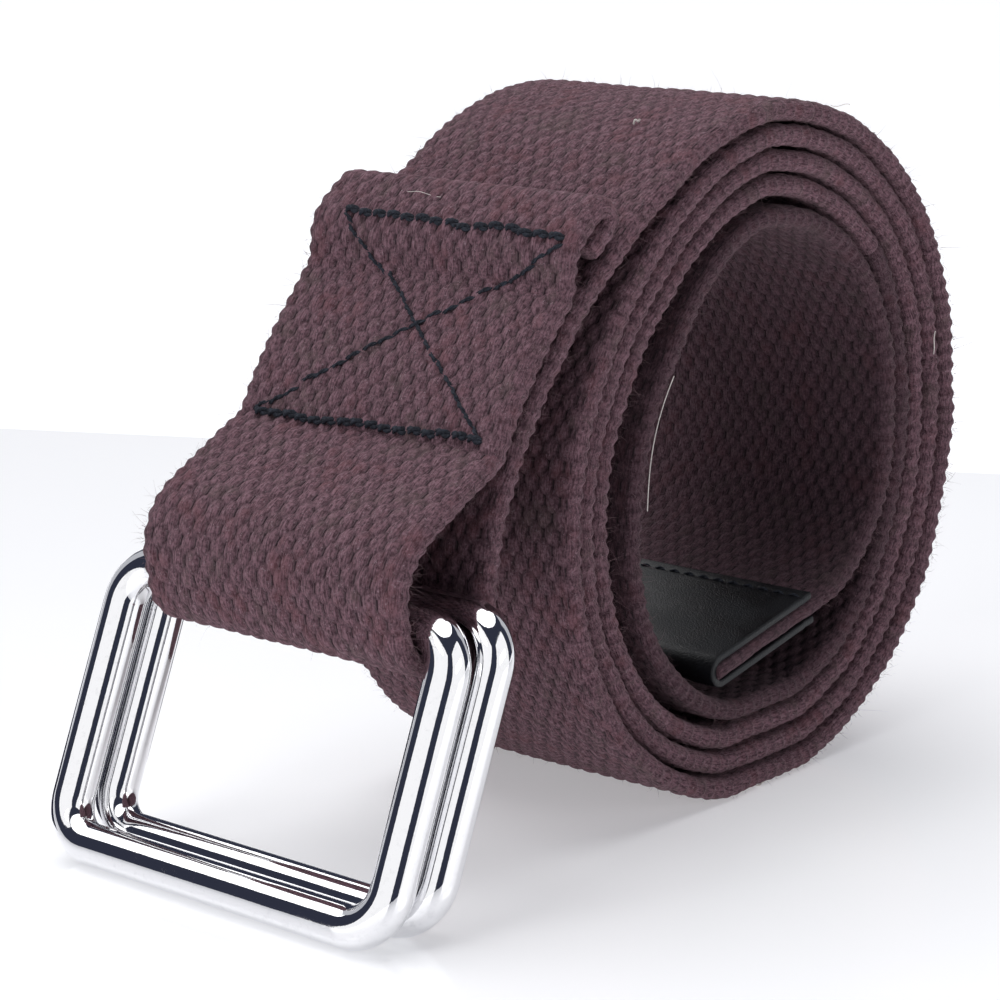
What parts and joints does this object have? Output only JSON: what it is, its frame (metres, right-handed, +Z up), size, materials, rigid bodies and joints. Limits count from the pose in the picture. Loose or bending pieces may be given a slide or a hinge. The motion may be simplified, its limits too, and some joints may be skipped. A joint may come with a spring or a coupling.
{
  "type": "canvas belt",
  "caption": "Dark canvas webbing belt, rolled up, with wire rings in a sewn loop and a black leather tip on the inner end.",
  "frame": {"origin": "middle of the belt's bottom, on the surface that it stands on", "axes": "+Z up, +X along the roll's axis (across the webbing), -Y towards the rings"},
  "size_m": [0.0536, 0.1132, 0.0816],
  "materials": {
    "canvas": "matte",
    "metal": "polished",
    "leather": "satin"
  },
  "bodies": {
    "belt": {"strap": "canvas", "leather_tip": "leather"},
    "front_ring": {"front_ring": "metal"},
    "rear_ring": {"rear_ring": "metal"}
  },
  "joints": [
    {"name": "front_ring_swing", "type": "hinge", "parent": "belt", "child": "front_ring", "pos_m": [-0.00061, -0.04204, 0.03168], "axis": [-1, 0, 0], "range_deg": [0, 175]},
    {"name": "rear_ring_swing", "type": "hinge", "parent": "belt", "child": "rear_ring", "pos_m": [0.00061, -0.0365, 0.03168], "axis": [1, 0, 0], "range_deg": [0, 60]}
  ]
}
